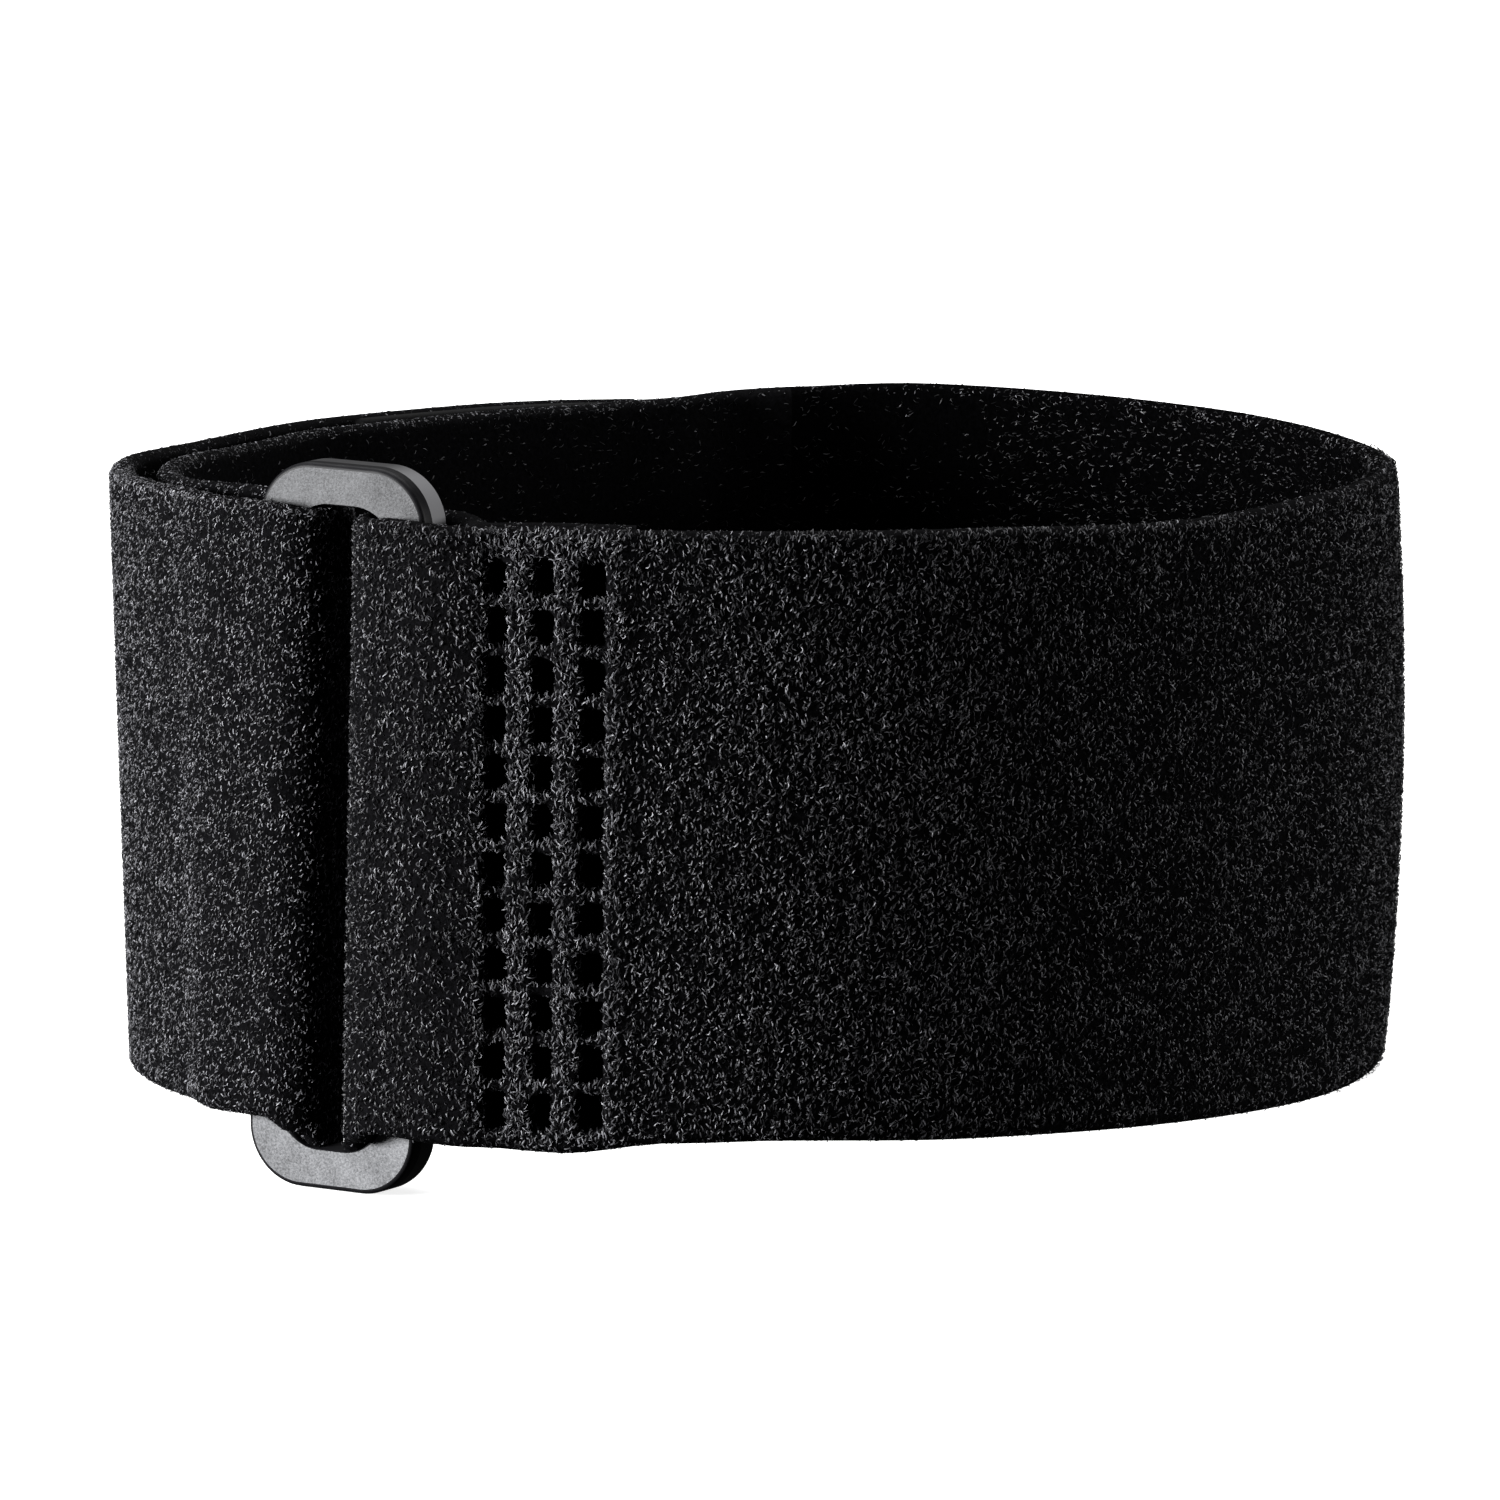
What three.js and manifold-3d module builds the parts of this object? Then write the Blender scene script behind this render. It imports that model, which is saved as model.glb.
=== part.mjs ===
// An elbow strap: one loop-pile band whose folded end is welded round a plastic slot ring, and whose
// other end runs back through the slot and lies on itself, held by a hook tab.
// Millimetres. The strap's own frame has +X to the right, +Y to the back and +Z up, with the middle of
// the band's width at zero. Places along the band are arc lengths from the middle of the slot,
// counted to the right along the front, and depths are counted inwards from the outside of the loop.

import * as THREE from 'three';
import { mergeVertices } from 'three/addons/utils/BufferGeometryUtils.js';
import Module from 'manifold-3d';

// Loop
const loopLength = 107;
const loopDepth = 92;
const drawIn = 1.1; // how far the lower edge lies inside the upper one
const drawSway = 0.78; // share by which that is more at the left and less at the right
const sideBulge = 1.1; // swell of the right side at half width
const meanReach = 0.983;
const outlineLobes = [
  { lobes: 1, swell: 0.035, towards: 280.4 },
  { lobes: 2, swell: 0.069, towards: 44 },
  { lobes: 3, swell: 0.026, towards: 85 },
  { lobes: 4, swell: 0.005, towards: 66 },
];

// Band, with its welded fold and its free layer
const strapWidth = 50;
const strapThick = 2.2;
const cutEdge = 0.6; // depth of the rounded cut edges
const foldLength = 27;
const freeLength = 105.7;
const layerSag = 1.9; // room between the free layer and the layer under it
const wrapGap = 1.7; // daylight between the two wraps in the slot
const slotDip = 0.8; // the upper cut edge is this much lower where it passes the slot
const slotHang = 1.1; // and the lower one this much

// Rise of the two cut edges round the loop, as shares of the band's width
const edgeWaves = [
  { angle: 0, top: 0.002, bottom: 0 },
  { angle: 20, top: -0.007, bottom: 0 },
  { angle: 45, top: -0.001, bottom: 0 },
  { angle: 74, top: 0.005, bottom: 0 },
  { angle: 86, top: 0, bottom: 0 },
  { angle: 100, top: -0.01, bottom: 0 },
  { angle: 125, top: -0.004, bottom: 0 },
  { angle: 145, top: -0.003, bottom: 0 },
  { angle: 166, top: -0.01, bottom: 0 },
  { angle: 190, top: 0.002, bottom: 0 },
  { angle: 222, top: 0.018, bottom: 0 },
  { angle: 237, top: 0.008, bottom: -0.008 },
  { angle: 246, top: 0.002, bottom: -0.01 },
  { angle: 253, top: 0.005, bottom: -0.014 },
  { angle: 263, top: 0.003, bottom: 0.007 },
  { angle: 272, top: 0.002, bottom: 0.008 },
  { angle: 290, top: 0, bottom: 0.003 },
  { angle: 310, top: -0.008, bottom: 0.003 },
  { angle: 335, top: 0.006, bottom: 0 },
];

// Weld: a grid of square dents pressed into both faces of the fold
const dentColumns = 3;
const dentRows = 12;
const dentPitch = 4.05; // along the band
const dentWidth = 2; // along the band
const dentRib = 1.04; // between the dents of a column
const weldStart = 15.7; // middle of the first column
const weldTop = 3.9; // upper edge to the middle of the first row
const weldBottom = 2.5;
const webThick = 1;
const webMargin = 0.3;

// Slot ring
const ringAngle = 231.5; // where it stands on the loop
const ringDrop = 0.9; // its middle below the band's
const ringLean = 1.95; // degrees in its own plane, with its foot to the left
const ringThick = 4;
const sideBar = 4.6;
const endBar = 3.5;
const ringCorner = 5;
const ringChamfer = 0.4;
const backChamfer = 1;
const slotCorner = 1.6;
const slotPlay = 1.5; // slot end to the band's cut edge
const slotFlare = 0.25; // rounding of the slot's two ends
const flareCorner = 1.3; // growth of the slot's corners with the rounding of its sides

// Hook tab
const tabThick = 1.2;
const tabReach = 13; // past the band's free end
const tabUnder = 30; // under the band's free end
const tabFall = 9; // over which it comes down from the free layer

// Fit between pieces that touch
const seatGap = 0.3;

// Worked out
const wrapRadius = ringThick / 2 + seatGap + strapThick / 2;
const slotWidth = 2 * (strapThick + seatGap) + wrapGap;
const slotLength = strapWidth + 2 * slotPlay;
const ringWidth = slotWidth + 2 * sideBar;
const ringLength = slotLength + 2 * endBar;
const barRound = ringThick / 2;
const barPlace = slotWidth / 2 + barRound; // middle of each wrap
const ringDepth = strapThick + seatGap + ringThick / 2; // middle of the ring under the outside
const insideDepth = ringDepth + wrapRadius; // a layer that lies behind the ring
const foldDepth = 1.5 * strapThick + seatGap;
const flatReach = ringWidth / 2 + seatGap; // the loop is flat this far each side of the slot
const roundReach = 2 * flatReach; // and follows its own outline from here

const radians = THREE.MathUtils.degToRad;
const smooth = THREE.MathUtils.smoothstep;
const mix = THREE.MathUtils.lerp;

// Outline of the loop

function outlinePoint(angle) {
  let reach = meanReach;
  for (const { lobes, swell, towards } of outlineLobes) {
    reach += swell * Math.cos(lobes * radians(angle - towards));
  }
  const turn = radians(angle);
  return new THREE.Vector2((loopLength / 2) * reach * Math.cos(turn), (loopDepth / 2) * reach * Math.sin(turn));
}

function outwards(angle) {
  const along = outlinePoint(angle + 0.5).sub(outlinePoint(angle - 0.5)).normalize();
  return new THREE.Vector2(along.y, -along.x);
}

// Angles round the loop, and the arc length from the slot to each of them
const arcSteps = 720;
const arcAngles = Array.from({ length: arcSteps + 1 }, (_, i) => ringAngle + (360 * i) / arcSteps);
const arcLengths = [0];
for (let i = 1; i <= arcSteps; i += 1) {
  const step = outlinePoint(arcAngles[i]).distanceTo(outlinePoint(arcAngles[i - 1]));
  arcLengths.push(arcLengths[i - 1] + step);
}
const girth = arcLengths[arcSteps];

function angleAt(along) {
  const arc = THREE.MathUtils.euclideanModulo(along, girth);
  const i = Math.max(1, arcLengths.findIndex((length) => length >= arc));
  const share = (arc - arcLengths[i - 1]) / (arcLengths[i] - arcLengths[i - 1]);
  return mix(arcAngles[i - 1], arcAngles[i], share);
}

function edgeRise(angle, edge) {
  const at = THREE.MathUtils.euclideanModulo(angle, 360);
  const next = edgeWaves.findIndex((row) => row.angle > at);
  const b = edgeWaves[next < 0 ? 0 : next];
  const a = edgeWaves[(edgeWaves.indexOf(b) + edgeWaves.length - 1) % edgeWaves.length];
  const span = THREE.MathUtils.euclideanModulo(b.angle - a.angle, 360);
  const share = THREE.MathUtils.euclideanModulo(at - a.angle, 360) / span;
  return strapWidth * mix(a[edge], b[edge], smooth(share, 0, 1));
}

// Places on the loop

const slotPoint = outlinePoint(ringAngle);
const slotOut = outwards(ringAngle);
const slotAlong = new THREE.Vector2(-slotOut.y, slotOut.x);

function drawnIn(angle, z) {
  return drawIn * (1 - drawSway * Math.cos(radians(angle))) * (z / strapWidth - 0.5);
}

function ringPlace(along, out, z) {
  const side = along + Math.tan(radians(ringLean)) * z;
  const off = out - ringDepth + drawnIn(ringAngle, z);
  const point = slotPoint.clone().addScaledVector(slotAlong, side).addScaledVector(slotOut, off);
  return new THREE.Vector3(point.x, point.y, z);
}

function fromSlot(along) {
  return THREE.MathUtils.euclideanModulo(along + girth / 2, girth) - girth / 2;
}

function loopPlace(along, depth, z) {
  const near = fromSlot(along);
  const angle = angleAt(along);
  const away = smooth(Math.abs(near), flatReach, roundReach);
  const flat = slotPoint.clone().addScaledVector(slotAlong, near);
  const point = flat.lerp(outlinePoint(angle), away);
  const out = slotOut.clone().lerp(outwards(angle), away).normalize();
  const swell = sideBulge * ((1 + Math.cos(radians(angle))) / 2) ** 2 * (1 - (2 * z / strapWidth) ** 2);
  const off = mix(drawnIn(ringAngle, z), drawnIn(angle, z), away) + away * swell - depth;
  const lean = Math.tan(radians(ringLean)) * z * (1 - away);
  return new THREE.Vector3(point.x + out.x * off - out.y * lean, point.y + out.y * off + out.x * lean, z);
}

// Depth of the middle of each layer

function freeCover(back) {
  return 1 - smooth(back, freeLength + seatGap, freeLength + tabFall);
}

function tabCover(back) {
  const inner = freeLength - tabUnder;
  const tip = freeLength + tabReach;
  return smooth(back, inner - tabFall, inner) * (1 - smooth(back, tip, tip + tabFall));
}

function tabDepth(back) {
  return tabThick / 2 + (strapThick + seatGap) * freeCover(back);
}

function mainDepth(along) {
  const back = girth - along;
  const sag = back < freeLength ? layerSag * Math.sin((Math.PI * back) / freeLength) ** 2 : 0;
  const layers = (strapThick + seatGap) * freeCover(back) + (tabThick + seatGap) * tabCover(back);
  const away = smooth(back, flatReach, 3 * flatReach);
  return mix(insideDepth, strapThick / 2 + layers + sag, away);
}

function foldedDepth(along) {
  return mix(insideDepth, foldDepth, smooth(along, ringWidth / 2 - ringChamfer, weldStart - dentWidth / 2));
}

// Bands: each station gives the middle of the layer at a share of the width, -1 below and 1 above

function heightAt(along, across) {
  const angle = angleAt(along);
  const inSlot = 1 - smooth(Math.abs(fromSlot(along)), slotWidth / 2, barPlace);
  const top = strapWidth / 2 - slotDip * inSlot + edgeRise(angle, 'top');
  const bottom = -strapWidth / 2 - slotHang * inSlot + edgeRise(angle, 'bottom');
  return mix(bottom, top, (across + 1) / 2);
}

function runStations(from, to, depthAt) {
  const fineStep = 1.6;
  const plainStep = 3.6;
  const stations = [];
  const heading = Math.sign(to - from);
  let along = from;
  while (heading * (to - along) > fineStep / 2) {
    const here = along;
    stations.push((across) => loopPlace(here, depthAt(here), heightAt(here, across)));
    along += heading * (Math.abs(fromSlot(along)) < 3 * flatReach ? fineStep : plainStep);
  }
  stations.push((across) => loopPlace(to, depthAt(to), heightAt(to, across)));
  return stations;
}

function wrapStations(side) {
  const steps = 8;
  return Array.from({ length: steps - 1 }, (_, i) => {
    const turn = -Math.PI / 2 - (side * Math.PI * (i + 1)) / steps;
    const along = side * barPlace + wrapRadius * Math.cos(turn);
    const out = wrapRadius * Math.sin(turn);
    return (across) => ringPlace(along, out, heightAt(along, across));
  });
}

function tangentAt(points, i) {
  const before = points[Math.max(i - 1, 0)];
  const after = points[Math.min(i + 1, points.length - 1)];
  const back = Math.max(points[i].distanceTo(before), 1e-6);
  const ahead = Math.max(points[i].distanceTo(after), 1e-6);
  const x = ((points[i].x - before.x) * ahead) / back + ((after.x - points[i].x) * back) / ahead;
  const y = ((points[i].y - before.y) * ahead) / back + ((after.y - points[i].y) * back) / ahead;
  return new THREE.Vector2(x, y).normalize();
}

function bandGeometry(stations, thick, width) {
  const shoulder = 1 - (2 * cutEdge) / width;
  const levels = [-1, -shoulder, -0.5, 0, 0.5, shoulder, 1];
  const faces = levels.map((across) => ({ across, side: Math.abs(across) === 1 ? 0.45 : 1 }));
  const section = [...faces, ...faces.map(({ across, side }) => ({ across, side: -side })).reverse()];
  const positions = [];
  for (const { across, side } of section) {
    const mids = stations.map((station) => station(across));
    mids.forEach((mid, i) => {
      const ahead = tangentAt(mids, i);
      const off = (side * thick) / 2;
      positions.push(mid.x + ahead.y * off, mid.y - ahead.x * off, mid.z);
    });
  }
  const count = stations.length;
  const around = section.length;
  const vertex = (row, station) => (row % around) * count + station;
  const triangles = [];
  for (let row = 0; row < around; row += 1) {
    for (let i = 0; i < count - 1; i += 1) {
      const [a, b] = [vertex(row, i), vertex(row, i + 1)];
      const [c, d] = [vertex(row + 1, i + 1), vertex(row + 1, i)];
      triangles.push(a, b, c, a, c, d);
    }
  }
  for (let row = 0; row < around / 2 - 1; row += 1) {
    const across = around - 1 - row;
    for (const [i, flip] of [[0, false], [count - 1, true]]) {
      const quad = [vertex(row, i), vertex(row + 1, i), vertex(across - 1, i), vertex(across, i)];
      const [a, b, c, d] = flip ? quad.reverse() : quad;
      triangles.push(a, b, c, a, c, d);
    }
  }
  const geometry = new THREE.BufferGeometry();
  geometry.setAttribute('position', new THREE.Float32BufferAttribute(positions, 3));
  geometry.setIndex(triangles);
  return geometry;
}

// Joining and cutting

const wasm = await Module();
wasm.setup();

function toSolid(geometry) {
  const bare = geometry.clone();
  bare.deleteAttribute('normal');
  bare.deleteAttribute('uv');
  const merged = mergeVertices(bare, 1e-4);
  const vertProperties = new Float32Array(merged.attributes.position.array);
  const triVerts = new Uint32Array(merged.index.array);
  return new wasm.Manifold(new wasm.Mesh({ numProp: 3, vertProperties, triVerts }));
}

function toGeometry(solid) {
  const mesh = solid.getMesh();
  const geometry = new THREE.BufferGeometry();
  geometry.setAttribute('position', new THREE.BufferAttribute(mesh.vertProperties, 3));
  geometry.setIndex(new THREE.BufferAttribute(mesh.triVerts, 1));
  geometry.computeVertexNormals();
  return geometry;
}

// A block square to the fold, between two depths
function weldBlock(along, z, width, height, outer, inner) {
  const middle = (outer + inner) / 2;
  const origin = loopPlace(along, middle, z);
  const ahead = loopPlace(along + 0.5, middle, z).sub(loopPlace(along - 0.5, middle, z)).normalize();
  const up = loopPlace(along, middle, z + 0.5).sub(loopPlace(along, middle, z - 0.5)).normalize();
  const inwards = up.clone().cross(ahead).normalize();
  const block = new THREE.BoxGeometry(width, inner - outer, height);
  const square = new THREE.Matrix4().makeBasis(ahead, inwards, ahead.clone().cross(inwards));
  return toSolid(block.applyMatrix4(square.setPosition(origin)));
}

// The pieces

function strapGeometry() {
  const half = strapThick / 2;
  const stations = [
    ...runStations(foldLength, barPlace, foldedDepth),
    ...wrapStations(1),
    ...runStations(barPlace, girth - barPlace, (along) => (along < girth / 2 ? half : mainDepth(along))),
    ...wrapStations(-1),
    ...runStations(-barPlace, -freeLength, () => half),
  ];
  let solid = toSolid(bandGeometry(stations, strapThick, strapWidth));

  // The weld: a thin web at each dent joins the two layers, and a dent is pressed in from each face
  const stack = 2 * strapThick + seatGap;
  const pit = (stack - webThick) / 2;
  const clear = strapThick / 2;
  const rowPitch = (strapWidth - weldTop - weldBottom) / (dentRows - 1);
  const dentHeight = rowPitch - dentRib;
  const webs = [];
  const dents = [];
  for (let column = 0; column < dentColumns; column += 1) {
    for (let row = 0; row < dentRows; row += 1) {
      const along = weldStart + column * dentPitch;
      const z = strapWidth / 2 - weldTop - row * rowPitch;
      webs.push(weldBlock(along, z, dentWidth + 2 * webMargin, dentHeight + 2 * webMargin, pit, pit + webThick));
      dents.push(weldBlock(along, z, dentWidth, dentHeight, -clear, pit));
      dents.push(weldBlock(along, z, dentWidth, dentHeight, pit + webThick, stack + clear));
    }
  }
  for (const web of webs) {
    solid = solid.add(web);
  }
  for (const dent of dents) {
    solid = solid.subtract(dent);
  }
  return toGeometry(solid);
}

function roundedOutline(halfWidth, halfLength, radius) {
  const cornerSteps = 7;
  const points = [];
  for (let corner = 0; corner < 4; corner += 1) {
    const x = (corner === 0 || corner === 3 ? 1 : -1) * (halfWidth - radius);
    const z = (corner < 2 ? 1 : -1) * (halfLength - radius);
    for (let i = 0; i <= cornerSteps; i += 1) {
      const turn = (corner + i / cornerSteps) * (Math.PI / 2);
      points.push([x + radius * Math.cos(turn), z + radius * Math.sin(turn)]);
    }
  }
  return points;
}

function ringGeometry() {
  const half = ringThick / 2;
  const rim = (depth) => {
    const soft = depth * (1 - Math.SQRT1_2);
    return [{ out: half, inset: depth }, { out: half - soft, inset: soft }, { out: half - depth, inset: 0 }];
  };
  const backRim = rim(backChamfer).map((row) => ({ ...row, out: -row.out }));
  const loops = [];
  for (const { out, inset } of [...rim(ringChamfer), ...backRim.reverse()]) {
    const corner = ringCorner - inset;
    loops.push({ out, outline: roundedOutline(ringWidth / 2 - inset, ringLength / 2 - inset, corner) });
  }
  const slotSteps = 8;
  for (let i = 0; i <= slotSteps; i += 1) {
    const turn = -Math.PI / 2 + (Math.PI * i) / slotSteps;
    const wide = barRound * (1 - Math.cos(turn));
    const long = slotFlare * (1 - Math.cos(turn));
    const corner = slotCorner + flareCorner * wide;
    const outline = roundedOutline(slotWidth / 2 + wide, slotLength / 2 + long, corner);
    loops.push({ out: half * Math.sin(turn), outline });
  }
  const positions = [];
  for (const { out, outline } of loops) {
    for (const [along, z] of outline) {
      positions.push(...ringPlace(along, out, z - ringDrop).toArray());
    }
  }
  const around = loops[0].outline.length;
  const triangles = [];
  for (let row = 0; row < loops.length; row += 1) {
    const next = (row + 1) % loops.length;
    for (let i = 0; i < around; i += 1) {
      const j = (i + 1) % around;
      const [a, b, c, d] = [row * around + i, row * around + j, next * around + j, next * around + i];
      triangles.push(a, c, b, a, d, c);
    }
  }
  const geometry = new THREE.BufferGeometry();
  geometry.setAttribute('position', new THREE.Float32BufferAttribute(positions, 3));
  geometry.setIndex(triangles);
  return geometry;
}

function tabGeometry() {
  const from = -freeLength - tabReach;
  const stations = runStations(from, -freeLength + tabUnder, (along) => tabDepth(-along));
  return bandGeometry(stations, tabThick, strapWidth);
}

// Materials and assembly

const pile = new THREE.MeshStandardMaterial({ color: 0x17171a, roughness: 0.95, metalness: 0 });
const plastic = new THREE.MeshStandardMaterial({ color: 0x55565a, roughness: 0.5, metalness: 0 });
const hooks = new THREE.MeshStandardMaterial({ color: 0x101012, roughness: 0.7, metalness: 0 });

function piece(name, geometry, material) {
  const flat = geometry.index ? geometry.toNonIndexed() : geometry;
  flat.computeVertexNormals();
  const mesh = new THREE.Mesh(flat, material);
  mesh.name = name;
  return mesh;
}

const strap = piece('strap', strapGeometry(), pile);
const slotRing = piece('slot_ring', ringGeometry(), plastic);
const hookTab = piece('hook_tab', tabGeometry(), hooks);

const loop = new THREE.Group();
loop.add(strap, slotRing, hookTab);

// At rest the loop stands on the ring's foot and on its far lower edge, so it leans towards the back
function lowestLine() {
  const ring = slotRing.geometry.attributes.position;
  const band = strap.geometry.attributes.position;
  const far = (list, i) => -(list.getX(i) * slotOut.x + list.getY(i) * slotOut.y);
  let foot = 0;
  for (let i = 0; i < ring.count; i += 1) {
    foot = ring.getZ(i) < ring.getZ(foot) ? i : foot;
  }
  let slope = 1;
  for (let i = 0; i < band.count; i += 1) {
    const run = far(band, i) - far(ring, foot);
    const rise = band.getZ(i) - ring.getZ(foot);
    slope = run > loopDepth / 4 ? Math.min(slope, rise / run) : slope;
  }
  return Math.atan(slope);
}

const leanAxis = new THREE.Vector3(slotAlong.x, slotAlong.y, 0);
loop.setRotationFromAxisAngle(leanAxis, -lowestLine());
loop.updateMatrixWorld(true);

// Origin: middle of the footprint, on the surface that it stands on
const bounds = new THREE.Box3().setFromObject(loop, true);
const middle = bounds.getCenter(new THREE.Vector3());
const group = new THREE.Group();
group.add(loop);
group.position.set(-middle.x, -middle.y, -bounds.min.z);

export default group;
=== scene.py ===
import math
import bpy
import numpy as np
from mathutils import Matrix, Vector


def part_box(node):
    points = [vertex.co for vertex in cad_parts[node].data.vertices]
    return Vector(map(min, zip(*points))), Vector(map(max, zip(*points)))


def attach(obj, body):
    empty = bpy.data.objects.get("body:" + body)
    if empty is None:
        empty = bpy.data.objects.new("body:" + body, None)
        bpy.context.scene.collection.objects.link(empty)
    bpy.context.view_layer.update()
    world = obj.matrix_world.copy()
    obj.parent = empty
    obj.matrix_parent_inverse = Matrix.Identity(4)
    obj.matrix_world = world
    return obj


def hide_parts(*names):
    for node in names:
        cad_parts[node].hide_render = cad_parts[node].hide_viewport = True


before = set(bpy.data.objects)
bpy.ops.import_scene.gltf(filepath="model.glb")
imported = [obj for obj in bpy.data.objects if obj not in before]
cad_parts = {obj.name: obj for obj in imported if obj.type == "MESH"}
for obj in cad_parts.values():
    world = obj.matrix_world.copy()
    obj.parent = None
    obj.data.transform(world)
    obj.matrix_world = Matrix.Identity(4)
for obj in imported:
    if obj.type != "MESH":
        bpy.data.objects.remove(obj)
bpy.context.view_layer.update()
mm = 0.001
rng = np.random.default_rng(7)


# Outline of the loop in millimetres, in the band's own frame: middle of the width at zero

loop = {
    "length": 107,
    "depth": 92,
    "drawIn": 1.1,  # how far the lower edge lies inside the upper one
    "drawSway": 0.78,  # share by which that is more at the left and less at the right
    "sideBulge": 1.1,  # of the right end, halfway up
    "meanReach": 0.983,  # of the half length and half depth
    # lobes round the loop, how far they swell and the angle of the first
    "lobes": [(1, 0.035, 280.4), (2, 0.069, 44), (3, 0.026, 85), (4, 0.005, 66)],
    "restLean": 3.545,  # degrees, with the ring's side up
}

band = {
    "width": 50,
    "thick": 2.2,
    "edgeRound": 0.8,
    "foldLength": 27,
    "freeLength": 105.7,
    "layerSag": 1.9,  # the layer under the free end stands off from it by this in the middle
    "slotDip": 0.3,  # the cut edges are lower by these where they pass the slot
    "slotHang": 1.1,
    "slotFill": 2.1,  # behind the front wraps the pile hangs lower by this and fills the slot's end
    "fillFront": (0.7, 2.4),  # all of it behind the first, none in front of the second
    "seatGap": 0.3,
    "endFall": 0.1,  # the free end's upper edge slopes down by this over a short way
    "endRise": 0.38,  # and the layer below rises by this to meet it, then sinks back
    "endSlope": 8,
    "riseFade": (5, 55),
    # angle round the loop, then the rise of the upper and lower cut edges as shares of the width
    "edgeWaves": [
        (0, 0.008, 0), (20, 0.003, 0), (45, 0.005, 0), (74, 0.007, 0), (86, 0, 0),
        (100, -0.01, 0), (125, -0.004, 0), (145, -0.003, 0), (166, -0.01, 0), (190, 0.002, 0),
        (222, 0.018, 0), (237, 0.008, -0.008), (246, 0.002, -0.016), (253, 0.005, -0.02),
        (263, 0.003, 0), (272, 0.002, 0.004), (290, 0, -0.002), (310, -0.008, -0.003),
        (335, 0.006, -0.004),
    ],
}

ring = {
    "angle": 231.5,
    "drop": 0.9,  # below the middle of the band's width
    "lean": 1.95,  # degrees
    "thick": 4,
    "sideBar": 4.6,
    "endBar": 3.5,
    "corner": 5,
    "chamfer": 0.4,
    "backChamfer": 1,
    "slotCorner": 1.6,
    "slotPlay": 1.5,  # at either end of the slot
    "slotFlare": 0.25,  # its ends open by this towards the faces
    "flareCorner": 1.3,  # and its corners get rounder by this for each millimetre that it opens
    "paintedTopShade": 0.46,  # painted shade: the front face is painted darker by this share towards the upper end, in place of the lamps' falloff
    "paintedShadeStrip": 0.9,  # width of the painted shade strip of the wall beside the front chamfer
    "paintedLightSide": (0.15, 0.4),  # the rest of the wall gets a painted highlight, pale between these shares of the width
    "paintedRearShade": 0.1,  # its painted shade tone elsewhere
    "profile": [90, 75, 60, 45, 30, 15, 0],  # degrees round a chamfer
    "slotProfile": 19,  # rows of points round the slot's edge
    "wrapGap": 1.7,  # between the band's two layers in the slot
}

tab = {
    "thick": 1.2,
    "reach": 13,  # beyond the free end
    "under": 30,  # and under it
    "fall": 9,  # the band's layers come together over this length beside it
    "tipFall": 0.1,
    "edgeRound": 0.3,
    "step": 0.7,
    "levels": 60,
    "edge": [1, 0.995, 0.985],  # levels beside a long edge
}

wrapRadius = ring["thick"] / 2 + band["seatGap"] + band["thick"] / 2
slotWidth = 2 * (band["thick"] + band["seatGap"]) + ring["wrapGap"]
slotLength = band["width"] + 2 * ring["slotPlay"]
ringWidth = slotWidth + 2 * ring["sideBar"]
ringLength = slotLength + 2 * ring["endBar"]
barPlace = slotWidth / 2 + ring["thick"] / 2
ringDepth = band["thick"] + band["seatGap"] + ring["thick"] / 2
insideDepth = ringDepth + wrapRadius
foldDepth = 1.5 * band["thick"] + band["seatGap"]
flatReach = ringWidth / 2 + band["seatGap"]
roundReach = 2 * flatReach


def mix(a, b, share):
    return a + (b - a) * share


def ease(value, low, high):
    share = np.clip((value - low) / (high - low), 0, 1)
    return share * share * (3 - 2 * share)


def outlinePoint(angle):
    reach = loop["meanReach"] + sum(
        swell * np.cos(np.radians(lobes * (angle - towards)))
        for lobes, swell, towards in loop["lobes"]
    )
    turn = np.radians(angle)
    return loop["length"] / 2 * reach * np.cos(turn), loop["depth"] / 2 * reach * np.sin(turn)


def outwards(angle):
    ax, ay = outlinePoint(angle - 0.5)
    bx, by = outlinePoint(angle + 0.5)
    size = np.hypot(bx - ax, by - ay)
    return (by - ay) / size, -(bx - ax) / size


arcAngles = ring["angle"] + np.linspace(0, 360, 1441)
arcX, arcY = outlinePoint(arcAngles)
arcLengths = np.concatenate([[0], np.cumsum(np.hypot(np.diff(arcX), np.diff(arcY)))])
girth = arcLengths[-1]
slotX, slotY = outlinePoint(ring["angle"])
outX, outY = outwards(ring["angle"])


def fromSlot(along):
    return np.mod(along + girth / 2, girth) - girth / 2


def angleAt(along):
    return np.interp(np.mod(along, girth), arcLengths, arcAngles)


def edgeRise(angle, edge):
    rows = band["edgeWaves"]
    angles = np.array([row[0] for row in rows] + [rows[0][0] + 360])
    rises = np.array([row[edge] for row in rows] + [rows[0][edge]])
    at = np.mod(angle, 360)
    row = np.clip(np.searchsorted(angles, at, side="right") - 1, 0, len(rows) - 1)
    share = ease((at - angles[row]) / (angles[row + 1] - angles[row]), 0, 1)
    return band["width"] * mix(rises[row], rises[row + 1], share)


def heightAt(along, across):
    angle = angleAt(along)
    inSlot = 1 - ease(np.abs(fromSlot(along)), slotWidth / 2, barPlace)
    top = band["width"] / 2 - band["slotDip"] * inSlot + edgeRise(angle, 1)
    end, slope = band["freeLength"], band["endSlope"]
    top = top - band["endFall"] * ease(-along, end - slope, end)
    tip = end + tab["reach"]
    top = top - tab["tipFall"] * ease(-along, tip - slope, tip)
    back = girth - along - end
    top = top + band["endRise"] * ease(back, -slope, 0) * (1 - ease(back, *band["riseFade"]))
    bottom = -band["width"] / 2 - band["slotHang"] * inSlot + edgeRise(angle, 2)
    return mix(bottom, top, (across + 1) / 2)


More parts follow.
